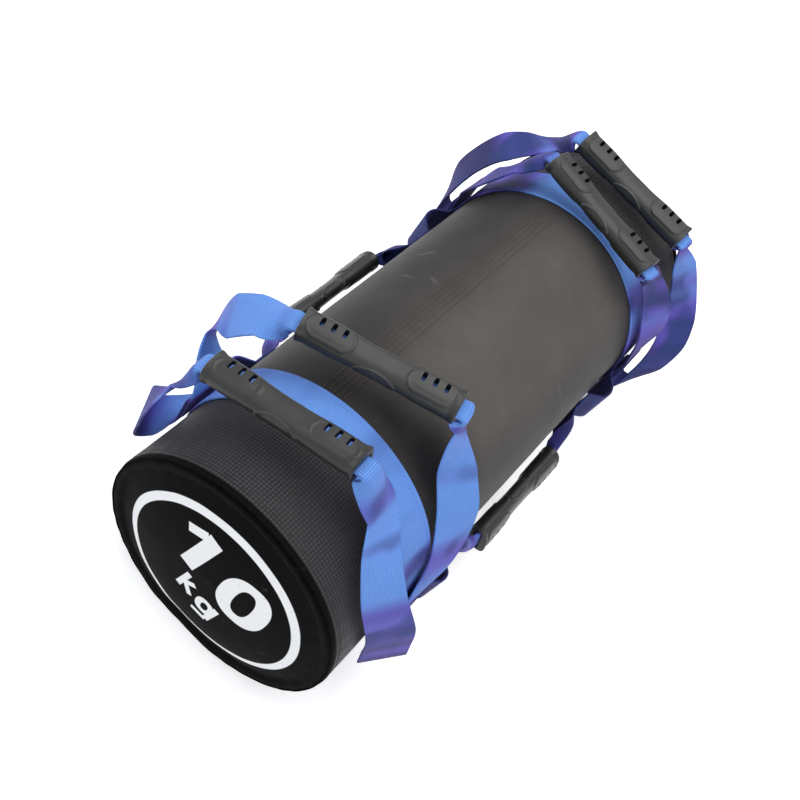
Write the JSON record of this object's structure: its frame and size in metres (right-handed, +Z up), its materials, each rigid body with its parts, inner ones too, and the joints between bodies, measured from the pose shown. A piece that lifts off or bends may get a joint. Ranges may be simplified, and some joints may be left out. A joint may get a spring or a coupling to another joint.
{
  "type": "sandbag trainer",
  "caption": "Round sand-filled training bag with webbing bands, top carrying loops and flank hand loops, each loop with a moulded grip sleeve.",
  "frame": {"origin": "on the floor under the middle of the bag, at the centre of its settled underside", "axes": "+Y along the bag's axis towards the rear end, with the printed front end at -Y; +Z up; +X to the right seen from the front"},
  "size_m": [0.2763, 0.5342, 0.2463],
  "materials": {
    "casing": "coated fabric with a fine grain, satin",
    "end_panel": "coated fabric with a fine embossed grid, satin",
    "webbing": "woven webbing, matt with a faint sheen",
    "grip": "moulded rubber, satin",
    "seam_tape": "woven tape, matt",
    "padding": "soft wadding, matt",
    "pouch": "woven sheet, matt",
    "tie": "smooth nylon",
    "sand": "loose dry grains"
  },
  "bodies": {
    "bag": {"side_panel": "casing", "front_end_panel": "end_panel", "rear_end_panel": "end_panel", "front_seam_tape": "seam_tape", "rear_seam_tape": "seam_tape", "lap_seam_strip": "seam_tape", "padding_jacket": "padding", "front_padding_disc": "padding", "rear_padding_disc": "padding", "sand_pouch": "pouch", "pouch_tie": "tie", "sand_fill": "sand", "front_band": "webbing", "rear_band": "webbing", "right_front_span": "webbing", "right_rear_span": "webbing", "left_front_span": "webbing", "left_rear_span": "webbing"},
    "front_lead_loop": {"front_lead_webbing": "webbing", "front_lead_grip": "grip"},
    "front_trail_loop": {"front_trail_webbing": "webbing", "front_trail_grip": "grip"},
    "rear_lead_loop": {"rear_lead_webbing": "webbing", "rear_lead_grip": "grip"},
    "rear_trail_loop": {"rear_trail_webbing": "webbing", "rear_trail_grip": "grip"},
    "right_flank_loop": {"right_flank_webbing": "webbing", "right_flank_grip": "grip"},
    "left_flank_loop": {"left_flank_webbing": "webbing", "left_flank_grip": "grip"}
  },
  "joints": [
    {"name": "front_lead_swing", "type": "hinge", "parent": "bag", "child": "front_lead_loop", "pos_m": [0, -0.166, 0.097], "axis": [1, 0, 0], "range_deg": [-8, 4]},
    {"name": "front_trail_swing", "type": "hinge", "parent": "bag", "child": "front_trail_loop", "pos_m": [0, -0.166, 0.097], "axis": [1, 0, 0], "range_deg": [-4, 8]},
    {"name": "rear_lead_swing", "type": "hinge", "parent": "bag", "child": "rear_lead_loop", "pos_m": [0, 0.177, 0.097], "axis": [1, 0, 0], "range_deg": [-5, 4]},
    {"name": "rear_trail_swing", "type": "hinge", "parent": "bag", "child": "rear_trail_loop", "pos_m": [0, 0.177, 0.097], "axis": [1, 0, 0], "range_deg": [0, 5]},
    {"name": "right_flank_swing", "type": "hinge", "parent": "bag", "child": "right_flank_loop", "pos_m": [0.1003, 0, 0.105], "axis": [0, -1, 0], "range_deg": [0, 115]},
    {"name": "left_flank_swing", "type": "hinge", "parent": "bag", "child": "left_flank_loop", "pos_m": [-0.1003, 0, 0.105], "axis": [0, 1, 0], "range_deg": [0, 115]}
  ]
}
